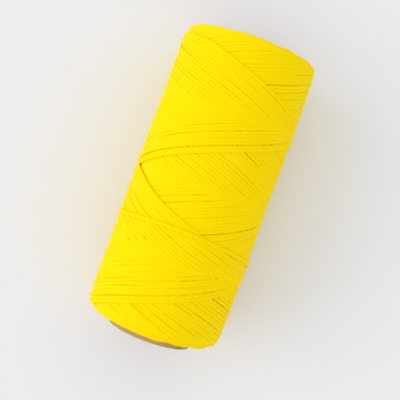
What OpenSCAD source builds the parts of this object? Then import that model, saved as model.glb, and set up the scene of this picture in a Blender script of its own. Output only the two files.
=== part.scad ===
// Cross-wound cord spool: one long cord wound on a spiral card tube that has no flanges.
// The spool lies on its side. Its axis runs along +X, and z = 0 is the surface that it lies on.

/* [Card tube] */
// Bore of the tube, the hole that goes over a spindle
tube_bore = 33; // [24:0.5:40]
// Thickness of the liner, the innermost ply
liner_ply = 0.5; // [0.3:0.1:1]
// Thickness of the board, the thick ply in the middle
board_ply = 1; // [0.6:0.1:2]
// Thickness of the wrapper, the outermost ply
wrapper_ply = 0.5; // [0.3:0.1:1]
// How far the tube sticks out of the winding at the -X end
low_stick_out = 2.2; // [0.2:0.1:8]
// How far the tube sticks out of the winding at the +X end
high_stick_out = 0.3; // [0.2:0.1:8]

/* [Winding] */
// Diameter over the finished winding
winding_diameter = 60.5; // [56:0.5:90]
// Length of the winding, measured along the tube
winding_length = 131; // [100:1:180]
// Axial depth of the taper at the -X end, from the tube out to the full diameter
low_taper = 3; // [0.5:0.5:12]
// Axial depth of the taper at the +X end
high_taper = 2.5; // [0.5:0.5:12]
// Radius that rounds the shoulder at the -X end, where the side meets the tapered end
low_shoulder = 4; // [0.5:0.1:4]
// Radius that rounds the shoulder at the +X end
high_shoulder = 2.5; // [0.5:0.1:4]

/* [Cord] */
// Diameter of the cord
cord_diameter = 1.2; // [0.8:0.05:1.4]
// Clear space between two turns that cross
crossing_gap = 0.45; // [0.42:0.01:0.8]
// Clear space between the turns and the layers below, where the turns come closest
seat_gap = 0.05; // [0.02:0.01:0.3]
// Turns in one stroke, which goes from end to end and back, before the lag that spreads the turns
stroke_turns = 3.5; // [2.5:1:3.5]
// Strokes of the outer layer that are drawn turn by turn, an odd number
drawn_strokes = 7; // [3:2:7]
// Turns left out of the last stroke, so that the two loose ends lie apart
end_gap_turns = 0.5; // [0.25:0.25:1]
// Distance from the -X end of the winding to the middle of the cord where it turns back
low_turn_inset = 7; // [5:0.5:14]
// Distance from the +X end of the winding to the middle of the cord where it turns back
high_turn_inset = 5.5; // [4:0.5:14]
// Angle round the axis in which the cord turns back at each end
turn_back_angle = 75; // [45:5:90]
// Angle round the axis in which the cord climbs over the turns below
climb_angle = 30; // [15:5:30]
// Angle round the axis at which the drawn turns start
start_angle = 240; // [0:15:345]

/* [Hidden] */
$fn = 96;

card_colour = "#c59b63";
board_colour = "#a67f4e";
cord_colour = "#ffe100";

// The drawn cord is a chain of straight facets between rings of corners.
rings_per_turn = 24;
ring_step = 360 / rings_per_turn;
cord_sides = 6;

// A chain of facets dips to this share of its own radius, halfway between two rings.
facet_dip = cos(ring_step / 2);

// A flat side of the cord faces outwards, and lies this far from the middle of the cord.
cord_reach = cord_diameter / 2 * cos(180 / cord_sides);
// A turn settles by this much where the spool lies on it.
rest_flat = cord_diameter / 10;

// Tube
tube_length = low_stick_out + winding_length + high_stick_out;
liner_radius = tube_bore / 2 + liner_ply;
board_radius = liner_radius + board_ply;
wrapper_radius = board_radius + wrapper_ply;

// Winding. The tube is centred on x = 0, so the winding lies a little off centre.
winding_radius = winding_diameter / 2;
winding_middle = (low_stick_out - high_stick_out) / 2;
axis_height = winding_radius * facet_dip - rest_flat;

// Going out, towards +X, the cord lies low. Coming back it lies high, and crosses those turns.
high_radius = winding_radius - cord_reach;
low_radius = high_radius - (cord_diameter + crossing_gap) / facet_dip;
inner_radius = low_radius * facet_dip - cord_reach - seat_gap;

// Each stroke lags by a part of a turn, which spreads the turning points evenly round each end.
turns_each_stroke = stroke_turns - 1 / (2 * drawn_strokes);
ring_count = floor((drawn_strokes * turns_each_stroke - end_gap_turns) * rings_per_turn);
turns_middle = winding_middle + (low_turn_inset - high_turn_inset) / 2;
travel = (winding_length - low_turn_inset - high_turn_inset) / 2;
turn_back_share = turn_back_angle / 360 / turns_each_stroke;

// Share of the way out, 0 to 1, to the place along the winding, -1 to 1: straight, with soft ends.
function place_along(share) =
    let (slope = 2 / (1 - turn_back_share))
    share < turn_back_share ? slope * share * share / (2 * turn_back_share) - 1
    : share > 1 - turn_back_share ? 1 - slope * (1 - share) * (1 - share) / (2 * turn_back_share)
    : slope * (share - turn_back_share / 2) - 1;

// Share of the stroke, 0 to 1, to the height in the layer: 0 is low, going out, and 1 is high.
function height_in_layer(share) =
    let (
        past_turn = share < 0.25 ? -share : share > 0.75 ? 1 - share : share - 0.5,
        climb_share = climb_angle / 360 / turns_each_stroke
    )
    min(1, max(0, 0.5 + past_turn / climb_share));

function outward(angle) = [0, cos(angle), sin(angle)];

// Rings stand half a step off the lowest line, so that the facets there lie level.
function ring_angle(ring) = start_angle + ring_step * (ring + 0.5);

function ring_centre(ring) =
    let (
        strokes = ring / rings_per_turn / turns_each_stroke,
        share = strokes - floor(strokes),
        radius = low_radius + (high_radius - low_radius) * height_in_layer(share)
    )
    [turns_middle + travel * place_along(2 * min(share, 1 - share)), 0, axis_height]
        + radius * outward(ring_angle(ring));

function unit(v) = v / norm(v);

// The corners of one ring, square to the cord. None lies below the surface that the spool lies on.
function ring_corners(ring) =
    let (
        along = unit(ring_centre(min(ring + 1, ring_count - 1)) - ring_centre(max(ring - 1, 0))),
        side = unit(cross(along, outward(ring_angle(ring)))),
        up = cross(side, along)
    )
    [for (k = [0 : cord_sides - 1])
        let (
            turn = 360 / cord_sides * (k + 0.5),
            corner = ring_centre(ring) + cord_diameter / 2 * (cos(turn) * up + sin(turn) * side)
        )
        [corner.x, corner.y, max(corner.z, 0)]];

// Two triangles between each corner of one ring and the next.
function band_faces(ring) =
    [for (k = [0 : cord_sides - 1], half = [0, 1])
        let (
            a = ring * cord_sides + k,
            b = ring * cord_sides + (k + 1) % cord_sides
        )
        half == 0 ? [a, b, b + cord_sides] : [a, b + cord_sides, a + cord_sides]];

// A cap is a fan of triangles. A reversed one closes the far end.
function cap_faces(ring, reversed) =
    [for (k = [1 : cord_sides - 2])
        let (first = ring * cord_sides)
        reversed ? [first, first + k, first + k + 1] : [first, first + k + 1, first + k]];

// The drawn turns lie closest where they cross, a whole number of turns apart. The gap is
// measured there, on points of the cord's middle line, from each point to those round it.
measure_steps = 8;
near_rings = 2;
function line_point(place) =
    let (ring = min(floor(place), ring_count - 2), share = place - ring)
    ring_centre(ring) * (1 - share) + ring_centre(ring + 1) * share;

function least_gap() =
    let (last = ring_count - near_rings)
    min([for (place = [near_rings : 1 / measure_steps : last - rings_per_turn])
        let (here = line_point(place))
        for (other = [place + rings_per_turn : rings_per_turn : last])
            if (abs(line_point(other).x - here.x) < 4 * cord_diameter)
                for (near = [-near_rings : 1 / measure_steps : near_rings])
                    norm(line_point(other + near) - here)
    ]) - cord_diameter;

// A straight piece of tube on the spool's axis, centred on x = 0.
cut_through = 1;
module ring_tube(outer, inner) {
    translate([0, 0, axis_height])
        rotate([0, 90, 0])
            difference() {
                cylinder(r = outer, h = tube_length, center = true);
                cylinder(r = inner, h = tube_length + cut_through, center = true);
            }
}

// Liner of the card tube. Its inside is the bore.
module liner() {
    color(card_colour)
        ring_tube(liner_radius, tube_bore / 2);
}

// Board, the thick ply that gives the tube its strength.
module board() {
    color(board_colour)
        ring_tube(board_radius, liner_radius);
}

// Wrapper, the ply that the cord is wound on.
module wrapper() {
    color(card_colour)
        ring_tube(wrapper_radius, board_radius);
}

// One end of the section of the hidden layers: radius, and distance from the middle of the
// winding. An arc rounds the shoulder, and touches both the side and the tapered end.
shoulder_steps = 6;
function section_end(taper, shoulder) =
    let (
        taper_here = taper * (inner_radius - wrapper_radius) / (winding_radius - wrapper_radius),
        corner = winding_length / 2 - taper_here,
        slant = atan2(inner_radius - wrapper_radius, taper_here),
        middle = [inner_radius - shoulder, corner - shoulder * tan(slant / 2)]
    )
    [
        for (k = [0 : shoulder_steps])
            let (turn = slant * k / shoulder_steps)
            middle + shoulder * [cos(turn), sin(turn)],
        [wrapper_radius, winding_length / 2]
    ];

// The layers of cord under the drawn turns, as one body with tapered ends and round shoulders.
module inner_winding() {
    high_end = section_end(high_taper, high_shoulder);
    low_end = section_end(low_taper, low_shoulder);
    turned_low_end = [for (k = [len(low_end) - 1 : -1 : 0]) [low_end[k].x, -low_end[k].y]];
    color(cord_colour)
        translate([winding_middle, 0, axis_height])
            rotate([0, 90, 0])
                rotate_extrude()
                    polygon(concat(high_end, turned_low_end));
}

// The outer turns, one unbroken cord.
module outer_turns() {
    corners = [for (ring = [0 : ring_count - 1]) each ring_corners(ring)];
    faces = [
        each cap_faces(0, false),
        for (ring = [0 : ring_count - 2]) each band_faces(ring),
        each cap_faces(ring_count - 1, true)
    ];
    echo(str("outer_turns: ", ring_count / rings_per_turn, " turns, ", len(faces),
        " triangles, least gap to itself ", least_gap(), " mm"));
    color(cord_colour)
        polyhedron(points = corners, faces = faces, convexity = 20);
}

liner();
board();
wrapper();
inner_winding();
outer_turns();
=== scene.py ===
import math

import bmesh
import bpy
import numpy as np
from bpy.props import FloatProperty, FloatVectorProperty, IntProperty, PointerProperty
from mathutils import Matrix, Vector


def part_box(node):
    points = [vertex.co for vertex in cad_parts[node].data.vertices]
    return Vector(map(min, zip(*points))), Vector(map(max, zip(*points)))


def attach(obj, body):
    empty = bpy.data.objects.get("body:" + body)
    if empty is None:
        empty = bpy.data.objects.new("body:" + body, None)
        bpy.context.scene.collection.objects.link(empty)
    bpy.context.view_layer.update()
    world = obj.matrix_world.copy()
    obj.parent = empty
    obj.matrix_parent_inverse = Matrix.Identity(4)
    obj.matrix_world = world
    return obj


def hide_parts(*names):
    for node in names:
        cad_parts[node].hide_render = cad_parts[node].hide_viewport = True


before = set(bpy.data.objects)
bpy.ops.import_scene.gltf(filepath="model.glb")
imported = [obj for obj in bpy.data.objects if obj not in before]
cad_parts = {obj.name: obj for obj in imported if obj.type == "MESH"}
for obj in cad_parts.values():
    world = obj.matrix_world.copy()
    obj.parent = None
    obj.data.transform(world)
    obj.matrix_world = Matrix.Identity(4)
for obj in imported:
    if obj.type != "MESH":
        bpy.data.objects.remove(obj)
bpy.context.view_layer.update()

bl_info = {
    "name": "Cross-Wound Cord Spool",
    "version": (1, 0, 0),
    "blender": (4, 5, 0),
    "location": "3D View > Sidebar > Cord Spool",
    "description": (
        "Winds a cord on a card tube, pass over crossing pass, and sets it on a lit floor"),
    "category": "Add Mesh",
}

MM = 0.001

# The frame's own sizes. The spool's axis runs along X.
WRAPPER_LOW, WRAPPER_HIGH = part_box("wrapper")
LAYERS_LOW, LAYERS_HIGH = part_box("inner_winding")
TURNS_LOW, TURNS_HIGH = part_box("outer_turns")
AXIS_HEIGHT = (WRAPPER_LOW.z + WRAPPER_HIGH.z) / 2
TUBE_RADIUS = (WRAPPER_HIGH.y - WRAPPER_LOW.y) / 2
WINDING_RADIUS = (TURNS_HIGH.y - TURNS_LOW.y) / 2
WINDING_MIDDLE = (LAYERS_LOW.x + LAYERS_HIGH.x) / 2
WINDING_LENGTH = LAYERS_HIGH.x - LAYERS_LOW.x

# A stroke is one pass out to +X and one pass back. It has this many turns and a short lag, which
# lays each pass beside the last one of its way.
STROKE_TURNS = 4

# Where the newest pass of each way crosses the top line: the turn, which is what all turns are
# counted by, and how far past the middle of the winding, on its way, the cord is then.
OUTWARD_TURN, OUTWARD_PAST_MIDDLE = -1, 15.0 * MM
RETURN_TURN, RETURN_PAST_MIDDLE = 1, 16.7 * MM

# Wide gaps between neighbouring passes: how many passes back from the newest the older of the two
# is, and how much wider than the mean the gap is, as a share of the mean. The first are between
# passes on the way to +X, the second between those on the way back.
OUTWARD_GAPS = {2: 0.38, 6: 0.3, 7: 0.1, 12: 0.18, 15: 0.2, 17: 0.2, 19: 0.48, 24: 0.18,
                29: 0.24, 31: 0.2, 32: 0.2, 34: 0.24}
RETURN_GAPS = {6: 0.16, 7: 0.14, 11: 0.2, 15: 0.1, 23: 0.2, 27: 0.22, 31: 0.14, 36: 0.12}

# How unevenly the passes are spaced, as shares of their mean distance: the newest, down to a few
# past the last wide gap above, and the deeper ones, which have wide gaps of their own.
NEWEST_SPREAD = 0.045
PASSES_PAST_GAPS = 13
DEEP_SPREAD = 0.05
DEEP_GAP = 0.15
DEEP_GAP_CHANCE = 0.1

# How far the newest return pass strays towards +X: turns after RETURN_TURN, and mm. The passes
# before it stray less and less, down to none after STRAY_PASSES.
STRAY = ((-0.70, 0.0), (-0.45, 2.2), (-0.28, 3.3), (-0.17, 3.3), (-0.13, 2.2), (-0.10, 0.9),
         (-0.04, 0.1), (0.04, 0.0), (0.10, 0.8), (0.20, 2.7), (0.30, 2.5), (0.50, 0.0))
STRAY_PASSES = 32

# The last wrap: turns after RETURN_TURN, and mm from the middle of the winding. It stops going
# back, lies nearly level, and is tucked in.
LAST_WRAP = ((0.25, -30.7), (0.33, -33.2), (0.42, -33.8), (0.52, -31.0), (0.62, -26.5),
             (0.70, -23.3), (0.76, -21.7), (0.80, -21.0), (0.87, -20.1), (0.92, -19.5),
             (0.95, -19.2), (1.01, -19.1), (1.04, -19.6), (1.10, -20.9), (1.17, -22.8),
             (1.20, -23.6), (1.30, -27.5), (1.45, -34.0))

# The newest stroke turns back this much earlier at the +X end. Those before it do so less and
# less, down to none after this many.
DRAWN_BACK = 4.0 * MM
DRAWN_BACK_STROKES = 14

# How far the windows reach, in turns to either side, that smooth the cord's random wander, and
# round the points where it turns back.
WANDER_REACH = 0.06
ROUNDING_REACH = 0.07

# Shoulders of the finished winding, in mm: how far from its end, and how far below its full
# radius. The first is at the -X end, the second at the +X end.
NEAR_SHOULDER = ((0.0, 10.0), (1.3, 5.2), (3.4, 2.2), (5.8, 0.85), (10.0, 0.45), (21.0, 0.15),
                 (40.0, 0.0))
FAR_SHOULDER = ((0.0, 8.0), (1.2, 4.0), (1.8, 1.8), (2.8, 0.6), (7.0, 0.1), (15.0, 0.0))

# The ends are nearly square near the tube. Their rounding grows outwards, with this power of the
# share of the winding that is wound, or of its full radius.
ROUNDING_POWER = 6

# How far above the mean radius of its layer a cord may lie, and how much more the last wrap may.
LAYER_ROOM = 0.6 * MM
LAST_WRAP_ROOM = 1.0 * MM

# Width that a cord takes up as it is laid, as a share of the width that it is drawn with. Cords
# side by side are pressed into each other a little.
LAID_WIDTH = 0.822

# The wound surface is brought to this far below the full radius, on average.
SURFACE_DIP = 0.25 * MM

# So that the grooves aren't too deep, a cord that lies deep is lifted by nearly GROOVE_LIFT, and by
# about two thirds of that at GROOVE_DEPTH. One that stands out is pressed down by PRESSED_SHARE of
# its height. Over the last LIFT_FADE above the tube both of these fade out.
GROOVE_LIFT = 0.8 * MM
GROOVE_DEPTH = 1.0 * MM
PRESSED_SHARE = 0.3
LIFT_FADE = 4 * MM

# Only each third sample of a cord's path becomes a ring of its tube. A shorter run than this many
# rings isn't made.
RING_STEP = 3
SHORTEST_RUN = 3

# The cords are made in groups, which change this many strokes below the newest.
NEWER_STROKES = 24
OLDER_STROKES = 60


class SpoolSizes(bpy.types.PropertyGroup):
    """Sizes of the winding."""

    winding_radius: FloatProperty(
        name="Winding radius", description="Radius over the finished winding",
        default=WINDING_RADIUS, min=0.02, max=0.1, unit="LENGTH", precision=5)
    winding_length: FloatProperty(
        name="Winding length", description="Length of the winding along the tube",
        default=WINDING_LENGTH, min=0.05, max=0.3, unit="LENGTH", precision=5)
    near_taper: FloatProperty(
        name="Near taper", description="Axial depth of the taper at the -X end",
        default=1.0 * MM, min=0.0, max=0.02, unit="LENGTH", precision=5)
    near_rounding: FloatProperty(
        name="Near rounding",
        description="How much more the outer layers draw back at the -X end",
        default=2.0 * MM, min=0.0, max=0.02, unit="LENGTH", precision=5)
    far_taper: FloatProperty(
        name="Far taper", description="Axial depth of the taper at the +X end",
        default=1.0 * MM, min=0.0, max=0.02, unit="LENGTH", precision=5)
    far_rounding: FloatProperty(
        name="Far rounding",
        description="How much more the outer layers draw back at the +X end",
        default=0.8 * MM, min=0.0, max=0.02, unit="LENGTH", precision=5)
    cord_width: FloatProperty(
        name="Cord width", description="Width of the cord, pressed a little flat",
        default=1.69 * MM, min=0.0005, max=0.003, unit="LENGTH", precision=5)
    cord_height: FloatProperty(
        name="Cord height", description="Height of the cord, pressed a little flat",
        default=1.0 * MM, min=0.0005, max=0.003, unit="LENGTH", precision=5)
    cord_spacing: FloatProperty(
        name="Cord spacing",
        description="Mean distance between neighbouring cords of one layer",
        default=1.4 * MM, min=0.001, max=0.005, unit="LENGTH", precision=5)
    outward_pitch: FloatProperty(
        name="Outward pitch", description="Advance in one turn on the way to +X",
        default=63.2 * MM, min=0.02, max=0.12, unit="LENGTH", precision=5)
    return_pitch: FloatProperty(
        name="Return pitch", description="Advance in one turn on the way back",
        default=66.6 * MM, min=0.02, max=0.12, unit="LENGTH", precision=5)
    strokes: IntProperty(
        name="Strokes", description="Strokes out and back that fill the winding",
        default=248, min=60, max=300)
    sway: FloatProperty(
        name="Sway",
        description="How far the passes on the way to +X sway once in each turn",
        default=1.2 * MM, min=0.0, max=0.003, unit="LENGTH", precision=5)
    wander: FloatProperty(
        name="Wander",
        description="How far the cord strays from its line, as a standard deviation",
        default=0.12 * MM, min=0.0, max=0.001, unit="LENGTH", precision=5)
    cone: FloatProperty(
        name="Cone",
        description="How much thicker than the middle the -X end is, as a radius",
        default=0.25 * MM, min=-0.002, max=0.002, unit="LENGTH", precision=5)
    edge_scatter: FloatProperty(
        name="Edge scatter",
        description="How far the turning points vary at the -X end. At +X it is half of this",
        default=3.0 * MM, min=0.0, max=0.006, unit="LENGTH", precision=5)
    twist_length: FloatProperty(
        name="Twist length", description="Length of cord in which a strand goes once round",
        default=3.9 * MM, min=0.001, max=0.02, unit="LENGTH", precision=5)
    seed: IntProperty(
        name="Seed", description="Seed of the small irregularities", default=3, min=0)


class SpoolColours(bpy.types.PropertyGroup):
    """Colours of the spool and the floor."""

    cord: FloatVectorProperty(
        name="Cord", description="Colour of the cord", subtype="COLOR", size=3,
        default=(1.0, 0.75, 0.0), min=0, max=1)
    card: FloatVectorProperty(
        name="Card", description="Colour of the liner and the wrapper of the tube",
        subtype="COLOR", size=3, default=(0.52, 0.365, 0.145), min=0, max=1)
    board: FloatVectorProperty(
        name="Board", description="Colour of the thick middle ply of the tube",
        subtype="COLOR", size=3, default=(0.40, 0.29, 0.15), min=0, max=1)
    floor: FloatVectorProperty(
        name="Floor", description="Colour of the floor", subtype="COLOR", size=3,
        default=(0.82, 0.82, 0.84), min=0, max=1)


class Value:
    """A number that a node puts out. Python's operators on it add Math nodes."""

    def __init__(self, graph, socket):
        self.graph = graph
        self.socket = socket

    def __add__(self, other):
        return self.graph.maths("ADD", self, other)

    def __sub__(self, other):
        return self.graph.maths("SUBTRACT", self, other)

    def __rsub__(self, other):
        return self.graph.maths("SUBTRACT", other, self)

    def __mul__(self, other):
        return self.graph.maths("MULTIPLY", self, other)

    __radd__ = __add__
    __rmul__ = __mul__


class Graph:
    """A new material and its nodes."""

    def __init__(self, name, **constants):
        self.material = bpy.data.materials.new(name)
        self.material.use_nodes = True
        self.tree = self.material.node_tree
        self.shader = self.tree.nodes["Principled BSDF"]
        for socket, value in constants.items():
            self.shader.inputs[socket.replace("_", " ")].default_value = value

    def node(self, kind, settings=None, inputs=None, output=0):
        """Adds a node: its settings first, then the values and links of its sockets."""
        made = self.tree.nodes.new(kind)
        made.location = (-180 * len(self.tree.nodes), 300)
        for key, value in (settings or {}).items():
            setattr(made, key, value)
        for key, value in (inputs or {}).items():
            if isinstance(value, Value):
                self.tree.links.new(value.socket, made.inputs[key])
            else:
                made.inputs[key].default_value = value
        return Value(self, made.outputs[output])

    def maths(self, operation, *values):
        return self.node("ShaderNodeMath", {"operation": operation}, dict(enumerate(values)))

    def mix(self, factor, one, other):
        """Mixes two colours, each a Value or three numbers."""
        # Sockets 6 and 7 of a Mix node are its two colours, and output 2 is their mixture.
        sides = {
            key: side if isinstance(side, Value) else (*side, 1.0)
            for key, side in ((6, one), (7, other))
        }
        return self.node(
            "ShaderNodeMix", {"data_type": "RGBA"}, {0: factor, **sides}, output=2)

    def noise(self, vector, scale, detail=2.0, roughness=0.5):
        return self.node(
            "ShaderNodeTexNoise", {},
            {"Vector": vector, "Scale": scale, "Detail": detail, "Roughness": roughness})

    def spread(self, value, low, high, to_low, to_high):
        """Maps the span from low to high onto another, and stays within it."""
        return self.node(
            "ShaderNodeMapRange", {},
            {"Value": value, "From Min": low, "From Max": high,
             "To Min": to_low, "To Max": to_high})

    def joined(self, x, y, z=0.0):
        return self.node("ShaderNodeCombineXYZ", {}, {0: x, 1: y, 2: z})

    def split(self, vector):
        """The three numbers of a vector."""
        first = self.node("ShaderNodeSeparateXYZ", {}, {0: vector})
        return [Value(self, socket) for socket in first.socket.node.outputs]

    def place(self):
        """Object coordinates."""
        return self.node("ShaderNodeTexCoord", output="Object")

    def bump(self, strength, distance, height):
        return self.node(
            "ShaderNodeBump", {},
            {"Strength": strength, "Distance": distance, "Height": height})

    def feed(self, socket, value):
        self.tree.links.new(value.socket, self.shader.inputs[socket])


def scaled(colour, factor):
    return tuple(min(1.0, c * factor) for c in colour)


def tinted(colour, factors):
    return tuple(c * f for c, f in zip(colour, factors))


def cord_material(name, sizes, colours):
    """Twisted synthetic cord. Its UV map runs along the cord, in metres, and once round it."""
    g = Graph(name, Roughness=0.62, Specular_IOR_Level=0.03)
    along, around, _ = g.split(g.node("ShaderNodeUVMap", {"uv_map": "cord"}))
    strands = 3.0
    strand = g.maths("FRACT", around * strands + along * (strands / sizes.twist_length))
    ridge = g.maths("SINE", strand * math.pi)
    fibre = g.noise(g.joined(along * 260.0, strand * 9.0, around * 2.0), 3.0)
    patch = g.noise(g.place(), 45.0, 3.0)
    # Painted shade darkens the grooves between the strands, and faint patches run along the cord.
    base = g.mix(
        g.spread(ridge, 0.0, 0.5, 0.25, 0.0), colours.cord,
        tinted(colours.cord, (0.93, 0.80, 0.5)))
    base = g.mix(
        g.spread(patch * 0.7 + fibre * 0.3, 0.35, 0.65, 0.0, 0.35), base,
        tinted(colours.cord, (0.985, 0.95, 0.7)))
    # Painted shade and bounce light: light that reaches the grooves between cords has bounced off
    # cord, which deepens its colour, so the sides of each cord are painted a deeper, darker colour
    # than its top.
    crown = g.maths("SINE", around * math.tau)
    base = g.mix(
        g.spread(crown, 0.2, 0.85, 1.0, 0.0), base, tinted(colours.cord, (1.0, 0.93, 0.6)))
    g.feed("Base Color", base)
    g.feed("Roughness", g.spread(fibre, 0.3, 0.7, 0.55, 0.72))
    g.feed("Normal", g.bump(0.6, 0.09 * MM, ridge + fibre * 0.25))
    return g.material


def card_material(name, colour, seam_lead=0.0, seam_at=0.0):
    """Kraft card with fibres along its spiral, and the seam of the spiral if it has a lead."""
    g = Graph(name, Roughness=0.9, Specular_IOR_Level=0.2)
    place = g.place()
    x, y, z = g.split(place)
    angle = g.maths("ARCTAN2", y, z - AXIS_HEIGHT)
    fibre = g.noise(g.joined(x * 90.0 + angle * 1.2, x * 900.0 - angle * 14.0), 2.2, 5.0, 0.65)
    speck = g.noise(place, 1400.0, 2.0)
    base = g.mix(
        g.spread(fibre, 0.3, 0.7, 0.0, 1.0), scaled(colour, 0.82), scaled(colour, 1.12))
    base = g.mix(g.spread(speck, 0.62, 0.75, 0.0, 0.45), base, scaled(colour, 0.6))
    height = fibre * 0.6 + speck * 0.4
    if seam_lead:
        half_seam = 0.012
        turn = g.maths("FRACT", x * (1 / seam_lead) + angle * (1 / math.tau) + seam_at)
        seam = g.spread(g.maths("ABSOLUTE", turn - 0.5), 0.0, half_seam, 1.0, 0.0)
        base = g.mix(seam * 0.7, base, scaled(colour, 0.35))
        height = height - seam * 1.5
    g.feed("Base Color", base)
    g.feed("Normal", g.bump(0.5, 0.1 * MM, height))
    return g.material


def neighbour_steps(rng, count, gaps):
    """Distance from each pass to the next newer one, newest first, as shares of the mean.

    The newest pass has no newer one, and its share isn't used.
    """
    steps = 1 + DEEP_SPREAD * rng.standard_normal(count)
    steps += DEEP_GAP * (rng.random(count) < DEEP_GAP_CHANCE)
    newest = max(gaps) + PASSES_PAST_GAPS
    steps[:newest] = 1 + NEWEST_SPREAD * rng.standard_normal(newest)
    for place, extra in gaps.items():
        steps[place] += extra
    steps[:newest] /= steps[:newest].mean()
    steps[newest:] /= steps[newest:].mean()
    return steps


class Path:
    """The cord's way along the winding, sample by sample, in the order in which it was wound.

    turn counts turns round the axis, and is whole on the top line. x is measured from the middle
    of the winding. stroke is the number of the stroke, and outward is true on the way to +X.
    """

    samples_a_turn = 360

    def __init__(self, sizes):
        rng = np.random.default_rng(sizes.seed)
        outward, back = self.middle_crossings(sizes, rng)

        start = math.ceil(outward[0] - 1)
        end = RETURN_TURN + LAST_WRAP[-1][0]
        per = self.samples_a_turn
        self.turn = np.arange(int((end - start) * per)) / per + start
        share = (self.turn - start) / (end - start)
        self.mean_radius = TUBE_RADIUS + (sizes.winding_radius - TUBE_RADIUS) * share

        # Turning points lie halfway between two crossings of the middle, and tell the passes apart.
        far_middle = (outward + back) / 2
        near_middle = (back[:-1] + outward[1:]) / 2
        self.stroke_parts = np.sort(np.concatenate([far_middle, near_middle]))
        ends_far = np.searchsorted(far_middle, self.turn)
        ends_near = np.searchsorted(near_middle, self.turn)
        self.outward = ends_far == ends_near
        self.stroke = np.where(self.outward, ends_near, ends_far - 1)
        self.in_last_wrap = self.turn - RETURN_TURN > LAST_WRAP[0][0]

        line = np.where(
            self.outward,
            (self.turn - outward[self.stroke]) * sizes.outward_pitch,
            (back[self.stroke] - self.turn) * sizes.return_pitch)
        far_scatter, near_scatter = self.turning_points(sizes, rng)
        # An outward pass sets out from where the stroke before it turned back at -X.
        near_stroke = np.maximum(np.where(self.outward, self.stroke - 1, self.stroke), 0)
        half = (sizes.winding_length - sizes.cord_width) / 2
        far = half - sizes.far_taper * share
        far -= sizes.far_rounding * share ** ROUNDING_POWER
        near = half - sizes.near_taper * share
        near -= sizes.near_rounding * share ** ROUNDING_POWER
        x = np.clip(line, -(near - near_scatter[near_stroke]), far - far_scatter[self.stroke])

        x = self.with_strays(x)
        x += np.where(self.outward, sizes.sway * np.sin(self.turn * math.tau), 0)
        x += self.wander(rng) * sizes.wander
        reach = int(ROUNDING_REACH * per)
        window = np.hanning(2 * reach + 1)
        self.x = np.convolve(np.pad(x, reach, mode="edge"), window / window.sum(), mode="valid")
        self.slope = np.gradient(self.x) * per / (math.tau * self.mean_radius)

    def middle_crossings(self, sizes, rng):
        """Turns at which the passes out and back cross the middle of the winding, oldest first."""
        pitch = (sizes.outward_pitch + sizes.return_pitch) / 2
        circumference = math.tau * sizes.winding_radius
        lag = sizes.cord_spacing / math.cos(math.atan(pitch / circumference)) / pitch
        ages = np.arange(sizes.strokes)
        ways = (
            (OUTWARD_TURN - OUTWARD_PAST_MIDDLE / sizes.outward_pitch, OUTWARD_GAPS),
            (RETURN_TURN - RETURN_PAST_MIDDLE / sizes.return_pitch, RETURN_GAPS))
        crossings = []
        for newest, gaps in ways:
            steps = neighbour_steps(rng, sizes.strokes, gaps)
            turns = newest - STROKE_TURNS * ages - lag * (np.cumsum(steps) - steps[0])
            crossings.append(turns[::-1])
        return crossings

    def turning_points(self, sizes, rng):
        """How far each stroke stays short of the +X end and of the -X end."""
        number = np.arange(sizes.strokes)
        # Steps by the golden section spread the turning points evenly.
        golden = np.array([[0.618], [0.382]])
        far, near = (number * golden + rng.uniform(0, 0.2, (2, sizes.strokes))) % 1
        newness = np.clip(1 - (sizes.strokes - 1 - number) / DRAWN_BACK_STROKES, 0, 1)
        return (
            far * (sizes.edge_scatter * 0.5) + DRAWN_BACK * newness,
            near * sizes.edge_scatter)

    def with_strays(self, x):
        """Lets the newest return passes stray, and lays the last wrap."""
        after = self.turn - RETURN_TURN
        places, strays = zip(*STRAY)
        for age in range(STRAY_PASSES):
            shift = np.interp(after + STROKE_TURNS * age, places, strays, left=0, right=0)
            x += shift * MM * (1 - age / STRAY_PASSES)
        places, from_middle = zip(*LAST_WRAP)
        wrap = np.interp(after, places, from_middle) * MM
        return np.where(self.in_last_wrap, wrap, x)

    def wander(self, rng):
        """Smooth random numbers along the path, with a spread of 1."""
        reach = int(WANDER_REACH * self.samples_a_turn)
        window = np.hanning(2 * reach + 1)
        smooth = np.convolve(rng.standard_normal(len(self.turn)), window, mode="same")
        return smooth / np.sqrt((window ** 2).sum())


class HeightField:
    """Radius over the cords wound so far, on a grid along the axis and round it."""

    along, round_axis = 640, 900

    def __init__(self, sizes):
        margin = 1.5 * MM
        self.low = -sizes.winding_length / 2 - margin
        self.cell = (sizes.winding_length + 2 * margin) / self.along
        self.radius = np.full((self.along, self.round_axis), TUBE_RADIUS)

    def cells(self, x, turn):
        i = np.clip(((x - self.low) / self.cell).astype(int), 0, self.along - 1)
        return i, np.floor((turn % 1) * self.round_axis).astype(int) % self.round_axis

    def footprint(self, path, part, offsets, step=0.0):
        """Cells under a part of the path, at some sideways offsets from its middle line.

        step moves all places on by a share of the distance between two samples.
        """
        x, turn, slope = path.x[part], path.turn[part], path.slope[part]
        if step:
            x = x + np.append(np.diff(x), 0) * step
            turn = turn + step / path.samples_a_turn
        cosine = 1 / np.sqrt(1 + slope ** 2)
        round_radius = math.tau * path.mean_radius[part]
        return self.cells(
            x[:, None] + offsets * cosine[:, None],
            turn[:, None] - offsets * (slope * cosine / round_radius)[:, None])


def pulled_taut(support, length, curvature):
    """Radius of a taut cord over a support: it bends no more than it must, and spans hollows."""
    straight = np.cumsum(np.cumsum(curvature * length) * length)
    place = np.cumsum(length)
    level = (support - straight).tolist()
    at = place.tolist()
    held = []
    for k in range(len(level)):
        while len(held) > 1:
            a, b = held[-2], held[-1]
            rise_to_b = (level[b] - level[a]) * (at[k] - at[a])
            rise_to_k = (level[k] - level[a]) * (at[b] - at[a])
            if rise_to_b > rise_to_k:
                break
            held.pop()
        held.append(k)
    return np.interp(place, place[held], np.array(level)[held]) + straight


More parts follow.
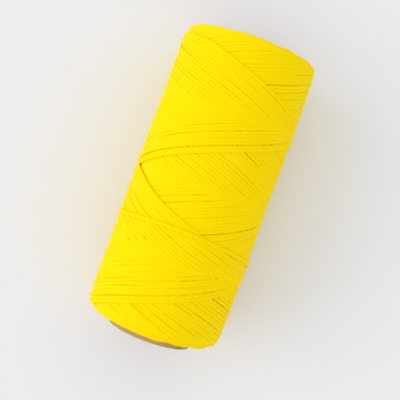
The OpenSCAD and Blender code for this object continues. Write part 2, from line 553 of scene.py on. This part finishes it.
def highest_radius(path, sizes):
    """The radius above which the cord may not lie, which shapes the ends of the winding."""
    half_length = sizes.winding_length / 2
    drop = np.maximum(
        np.interp(half_length + path.x, *np.array(NEAR_SHOULDER).T * MM),
        np.interp(half_length - path.x, *np.array(FAR_SHOULDER).T * MM))
    share = path.mean_radius / sizes.winding_radius
    limit = path.mean_radius + LAYER_ROOM - drop * share ** ROUNDING_POWER
    limit[path.in_last_wrap] += LAST_WRAP_ROOM
    return limit


def wind_cord(path, sizes):
    """Lays the cord stroke by stroke. Returns the radius of its middle line, and the field."""
    field = HeightField(sizes)
    half_width, half_height = LAID_WIDTH / 2 * sizes.cord_width, sizes.cord_height / 2
    # A cord rests on what is below most of its width, and covers nearly all of it. It is laid at
    # places between two samples as well, so that no cell is left out.
    press = np.linspace(-0.92, 0.92, 9) * half_width
    press_height = half_height * np.sqrt(1 - (press / half_width) ** 2)
    cover = np.linspace(-0.97, 0.97, 15) * half_width
    cover_height = half_height * np.sqrt(1 - (cover / half_width) ** 2)
    between_samples = (0.0, 0.25, 0.5, 0.75)
    radius = np.empty_like(path.x)
    limit = highest_radius(path, sizes)
    edges = np.searchsorted(path.turn, path.stroke_parts)
    edges = np.unique(np.concatenate([[0], edges, [len(path.turn)]]))
    for first, last in zip(edges[:-1], edges[1:]):
        part = slice(first, last)
        mean_radius = path.mean_radius[part]
        cosine = 1 / np.sqrt(1 + path.slope[part] ** 2)
        length = math.tau * mean_radius / path.samples_a_turn / cosine
        support = (field.radius[field.footprint(path, part, press)] + press_height).max(axis=1)
        taut = pulled_taut(support, length, cosine ** 2 / mean_radius)
        radius[part] = np.minimum(taut, limit[part])
        for step in between_samples:
            here = radius[part] + np.append(np.diff(radius[part]), 0) * step
            np.maximum.at(
                field.radius, field.footprint(path, part, cover, step),
                here[:, None] + cover_height)
    return radius, field


def with_lead(seen, samples):
    """Adds the samples on either side of those seen, where the cord goes under another."""
    return np.convolve(seen, np.ones(samples), mode="same") > 0


def visible_samples(path, radius, field, sizes):
    """Samples of the cord that no later pass covers."""
    tolerance = 0.05 * MM
    half_width, half_height = sizes.cord_width / 2, sizes.cord_height / 2
    offsets = np.linspace(-0.9, 0.9, 7) * half_width
    own = radius[:, None] + half_height * np.sqrt(1 - (offsets / half_width) ** 2)
    over = field.radius[field.footprint(path, slice(None), offsets)]
    return with_lead((own > over - tolerance).any(axis=1), samples=7)


def seen_from_ends(path, radius, sizes):
    """Samples near the ends that no other cord covers, as seen along the axis."""
    # In each cell of a grid of radius and angle, the cord that reaches out furthest shows.
    end_depth, row_height, columns, tolerance = 12 * MM, 0.5 * MM, 240, 0.8 * MM
    seen = np.zeros(len(path.x))
    row = np.maximum((radius - TUBE_RADIUS) / row_height, 0).astype(int)
    column = np.floor((path.turn % 1) * columns).astype(int)
    for way in (-1, 1):
        out = path.x * way
        near = np.flatnonzero(out > sizes.winding_length / 2 - end_depth)
        reach = np.zeros((row.max() + 1, columns))
        np.maximum.at(reach, (row[near], column[near]), out[near])
        seen[near] += out[near] > reach[row[near], column[near]] - tolerance
    return with_lead(seen, samples=31)


def settled(path, radius, field, sizes):
    """Brings the winding to its finished radius. Returns the cord's radius, and the surface."""
    # The surface is measured over the middle four fifths, away from the shoulders.
    middle = abs(np.arange(field.along) - field.along / 2) < field.along * 0.4
    reached = field.radius[middle].mean() - TUBE_RADIUS
    settle = (sizes.winding_radius - SURFACE_DIP - TUBE_RADIUS) / reached
    depth = sizes.winding_radius - TUBE_RADIUS
    radius = TUBE_RADIUS + (radius - TUBE_RADIUS) * settle
    below = sizes.winding_radius - sizes.cord_height / 2 - radius
    lift = np.where(
        below > 0, GROOVE_LIFT * (1 - np.exp(-below / GROOVE_DEPTH)), PRESSED_SHARE * below)
    radius += lift * np.clip((radius - TUBE_RADIUS) / LIFT_FADE, 0, 1)
    radius -= sizes.cone / depth * (radius - TUBE_RADIUS) * path.x / (sizes.winding_length / 2)
    return radius, TUBE_RADIUS + (field.radius - TUBE_RADIUS) * settle


def tube_mesh(name, middle, side, up, along, sizes, run_ends):
    """One closed tube for each run of samples, with a UV map along and round the cord."""
    sides = 8
    turn = np.arange(sides) / sides * math.tau
    # A power below 1 makes the section fuller than an ellipse.
    fullness = 0.65
    wide, high = (
        np.sign(v) * np.abs(v) ** fullness
        for v in (np.cos(turn).round(6), np.sin(turn).round(6)))
    ring = (
        middle[:, None, :]
        + side[:, None, :] * (wide * sizes.cord_width / 2)[None, :, None]
        + up[:, None, :] * (high * sizes.cord_height / 2)[None, :, None])
    ring[..., 2] = np.maximum(ring[..., 2], 0.0)
    starts = np.concatenate([[0], run_ends[:-1]])
    joined = np.ones(len(middle), dtype=bool)
    joined[run_ends - 1] = False
    first = np.flatnonzero(joined)
    k = np.arange(sides)
    a = first[:, None] * sides + k
    b = first[:, None] * sides + (k + 1) % sides
    walls = np.stack([a, b, b + sides, a + sides], axis=-1).reshape(-1, 4)
    # Three quads close an end of eight sides.
    cap = np.array([(0, 1, 2, 7), (2, 3, 6, 7), (3, 4, 5, 6)])
    caps = np.concatenate([
        (starts[:, None, None] * sides + cap[:, ::-1]).reshape(-1, 4),
        ((run_ends - 1)[:, None, None] * sides + cap).reshape(-1, 4)])
    mesh = bpy.data.meshes.new(name)
    mesh.from_pydata(ring.reshape(-1, 3), [], np.concatenate([walls, caps]))
    uv = np.empty((len(first), sides, 4, 2))
    uv[..., 0, 0] = uv[..., 1, 0] = along[first][:, None]
    uv[..., 2, 0] = uv[..., 3, 0] = along[first + 1][:, None]
    uv[..., 0, 1] = uv[..., 3, 1] = k / sides
    uv[..., 1, 1] = uv[..., 2, 1] = (k + 1) / sides
    cap_uv = np.zeros((len(caps), 4, 2))
    layer = mesh.uv_layers.new(name="cord")
    layer.uv.foreach_set("vector", np.concatenate([uv.ravel(), cap_uv.ravel()]))
    mesh.shade_smooth()
    mesh.update()
    return mesh


def show(context, mesh, material, slot, *stands_for):
    """Links a finished piece of the object and hides the solids that it stands for."""
    piece = bpy.data.objects.new(mesh.name, mesh)
    context.scene.collection.objects.link(piece)
    mesh.materials.append(material)
    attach(piece, "root")
    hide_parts(*stands_for)


class SPOOL_OT_cord(bpy.types.Operator):
    """Winds the cord pass by pass and makes the part of it that can be seen"""

    bl_idname = "spool.cord"
    bl_label = "Wind the Cord"
    bl_options = {"REGISTER", "UNDO"}

    def execute(self, context):
        sizes, colours = context.scene.spool_sizes, context.scene.spool_colours
        path = Path(sizes)
        radius, field = wind_cord(path, sizes)
        seen = visible_samples(path, radius, field, sizes) | seen_from_ends(path, radius, sizes)
        radius, surface = settled(path, radius, field, sizes)
        self.make_cords(context, sizes, colours, path, radius, seen)
        self.make_hidden_layers(context, sizes, colours, surface, field)
        return {"FINISHED"}

    def make_cords(self, context, sizes, colours, path, radius, seen):
        """Tubes for the runs of cord that show, in groups by way and age."""
        turn = path.turn * math.tau
        outwards = np.stack([np.zeros_like(turn), -np.sin(turn), np.cos(turn)], axis=1)
        middle = outwards * radius[:, None]
        middle[:, 0] += path.x + WINDING_MIDDLE
        middle[:, 2] += AXIS_HEIGHT
        tangent = np.gradient(middle, axis=0)
        steps = np.linalg.norm(np.diff(middle, axis=0), axis=1)
        along = np.concatenate([[0], np.cumsum(steps)])
        tangent /= np.linalg.norm(tangent, axis=1)[:, None]
        side = np.cross(tangent, outwards)
        side /= np.linalg.norm(side, axis=1)[:, None]
        up = np.cross(side, tangent)

        material = cord_material("cord", sizes, colours)
        groups = {}
        for run in self.runs(seen):
            group = self.group_name(path, run[len(run) // 2])
            groups.setdefault(group, []).append(run)
        for name, members in sorted(groups.items()):
            samples = np.concatenate(members)
            run_ends = np.cumsum([len(run) for run in members])
            mesh = tube_mesh(
                name, middle[samples], side[samples], up[samples], along[samples], sizes,
                run_ends)
            show(context, mesh, material, "cord", "outer_turns")

    def runs(self, seen):
        """Unbroken runs of samples that show, thinned out, with both their ends kept."""
        change = np.flatnonzero(np.diff(np.concatenate([[0], seen.astype(int), [0]])))
        for first, last in zip(change[::2], change[1::2] - 1):
            run = np.append(np.arange(first, last, RING_STEP), last)
            if len(run) >= SHORTEST_RUN:
                yield run

    def group_name(self, path, sample):
        age = path.stroke[-1] - path.stroke[sample]
        way = "outward" if path.outward[sample] else "return"
        layer = "newer" if age < NEWER_STROKES else "older" if age < OLDER_STROKES else "end"
        return f"cord_{way}_{layer}"

    def make_hidden_layers(self, context, sizes, colours, surface, field):
        """A body of turned sections just under the lowest cord that shows."""
        reach, section_step, steps_round = 12, 6, 72
        lowest_share, margin, thinnest, overlap = 0.004, 0.25 * MM, 0.3 * MM, 0.05 * MM
        lowest = np.quantile(surface, lowest_share, axis=1) - margin
        lowest = np.array([
            lowest[max(0, k - reach):k + reach + 1].min() for k in range(len(lowest))])
        centres = field.low + (np.arange(field.along) + 0.5) * field.cell
        picked = np.flatnonzero(lowest > TUBE_RADIUS + thinnest)[::section_step]
        inner_radius = TUBE_RADIUS - overlap
        points = [(centres[picked[0]], inner_radius)]
        points += [(centres[k], lowest[k]) for k in picked]
        points += [(centres[picked[-1]], inner_radius)]
        bm = bmesh.new()
        verts = [bm.verts.new((x + WINDING_MIDDLE, 0.0, AXIS_HEIGHT + r)) for x, r in points]
        edges = [bm.edges.new(pair) for pair in zip(verts, verts[1:] + verts[:1])]
        bmesh.ops.spin(
            bm, geom=verts + edges, cent=(0, 0, AXIS_HEIGHT), axis=(1, 0, 0), angle=math.tau,
            steps=steps_round, use_merge=True)
        bmesh.ops.remove_doubles(bm, verts=bm.verts, dist=0.001 * MM)
        bmesh.ops.recalc_face_normals(bm, faces=bm.faces)
        for face in bm.faces:
            face.smooth = True
        mesh = bpy.data.meshes.new("hidden_layers")
        bm.to_mesh(mesh)
        bm.free()
        mesh.uv_layers.new(name="cord")
        material = cord_material("cord_below", sizes, colours)
        show(context, mesh, material, "cord", "inner_winding")


class SPOOL_OT_tube(bpy.types.Operator):
    """Finishes the three plies of the card tube"""

    bl_idname = "spool.tube"
    bl_label = "Finish the Card Tube"
    bl_options = {"REGISTER", "UNDO"}

    def execute(self, context):
        colours = context.scene.spool_colours
        seam_lead = 62 * MM
        finishes = {
            "liner": card_material("card_liner", colours.card, seam_lead, 0.3),
            "board": card_material("card_board", colours.board),
            "wrapper": card_material("card_wrapper", colours.card, seam_lead, 0.7),
        }
        for name, material in finishes.items():
            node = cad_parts[name]
            node.data.materials.clear()
            node.data.materials.append(material)
        return {"FINISHED"}


class SPOOL_OT_stage(bpy.types.Operator):
    """Sets the floor, the lights and the camera"""

    bl_idname = "spool.stage"
    bl_label = "Set the Stage"
    bl_options = {"REGISTER", "UNDO"}

    def execute(self, context):
        self.make_floor(context)
        self.make_light(context)
        self.make_camera(context)
        context.scene.view_settings.view_transform = "Standard"
        return {"FINISHED"}

    def make_floor(self, context):
        """A flat floor, 3 m across, that the spool lies on."""
        colour = context.scene.spool_colours.floor
        bm = bmesh.new()
        bmesh.ops.create_grid(bm, x_segments=8, y_segments=8, size=1.5)
        mesh = bpy.data.meshes.new("floor")
        bm.to_mesh(mesh)
        bm.free()
        floor = bpy.data.objects.new("floor", mesh)
        context.scene.collection.objects.link(floor)
        g = Graph("floor_paint", Roughness=0.8, Specular_IOR_Level=0.1)
        g.feed("Base Color", g.mix(
            g.noise(g.place(), 3.0), scaled(colour, 0.995), scaled(colour, 1.005)))
        mesh.materials.append(g.material)

    def make_light(self, context):
        """An even room, and soft light from a wide window at the +Y side."""
        world = bpy.data.worlds.new("room")
        world.use_nodes = True
        background = world.node_tree.nodes["Background"]
        background.inputs["Color"].default_value = (0.98, 0.99, 1.0, 1.0)
        background.inputs["Strength"].default_value = 0.93
        context.scene.world = world
        sun = bpy.data.lights.new("window", "SUN")
        sun.energy = 1.08
        sun.angle = math.radians(60)
        sun.color = (1.0, 0.985, 0.96)
        lamp = bpy.data.objects.new("window", sun)
        falls = Vector((0.2, -0.95, -0.38))
        lamp.rotation_euler = falls.to_track_quat("-Z", "Y").to_euler()
        context.scene.collection.objects.link(lamp)

    def make_camera(self, context):
        """Looks almost straight down on the spool, which lies turned in the picture."""
        distance, lens = 300 * MM, 61.54
        tilt, roll = math.radians(-0.5), math.radians(70.07)
        centre = Vector((WINDING_MIDDLE - 5.36 * MM, -1.18 * MM, AXIS_HEIGHT))
        turned = (Matrix.Rotation(roll, 3, "Z") @ Matrix.Rotation(tilt, 3, "Y")).transposed()
        camera = bpy.data.cameras.new("camera")
        camera.lens, camera.sensor_width = lens, 36
        camera.clip_start, camera.clip_end = 0.01, 10
        view = bpy.data.objects.new("camera", camera)
        placed = turned.to_4x4()
        placed.translation = centre + turned @ Vector((0, 0, distance))
        view.matrix_world = placed
        context.scene.collection.objects.link(view)
        context.scene.camera = view


class SPOOL_PT_panel(bpy.types.Panel):
    """Lists the sizes, the colours and the steps"""

    bl_idname = "SPOOL_PT_panel"
    bl_label = "Cord Spool"
    bl_space_type = "VIEW_3D"
    bl_region_type = "UI"
    bl_category = "Cord Spool"

    def draw(self, context):
        layout = self.layout
        groups = (
            ("Sizes", context.scene.spool_sizes), ("Colours", context.scene.spool_colours))
        for title, group in groups:
            box = layout.box()
            box.label(text=title)
            for name in group.__annotations__:
                box.prop(group, name)
        for operator in STEPS:
            layout.operator(operator.bl_idname)


STEPS = (SPOOL_OT_stage, SPOOL_OT_tube, SPOOL_OT_cord)
CLASSES = (SpoolSizes, SpoolColours, *STEPS, SPOOL_PT_panel)


def register():
    for cls in CLASSES:
        bpy.utils.register_class(cls)
    bpy.types.Scene.spool_sizes = PointerProperty(type=SpoolSizes)
    bpy.types.Scene.spool_colours = PointerProperty(type=SpoolColours)


def unregister():
    del bpy.types.Scene.spool_colours
    del bpy.types.Scene.spool_sizes
    for cls in reversed(CLASSES):
        bpy.utils.unregister_class(cls)


def main():
    register()
    for step in STEPS:
        group, name = step.bl_idname.split(".")
        getattr(getattr(bpy.ops, group), name)()


if __name__ == "__main__":
    main()
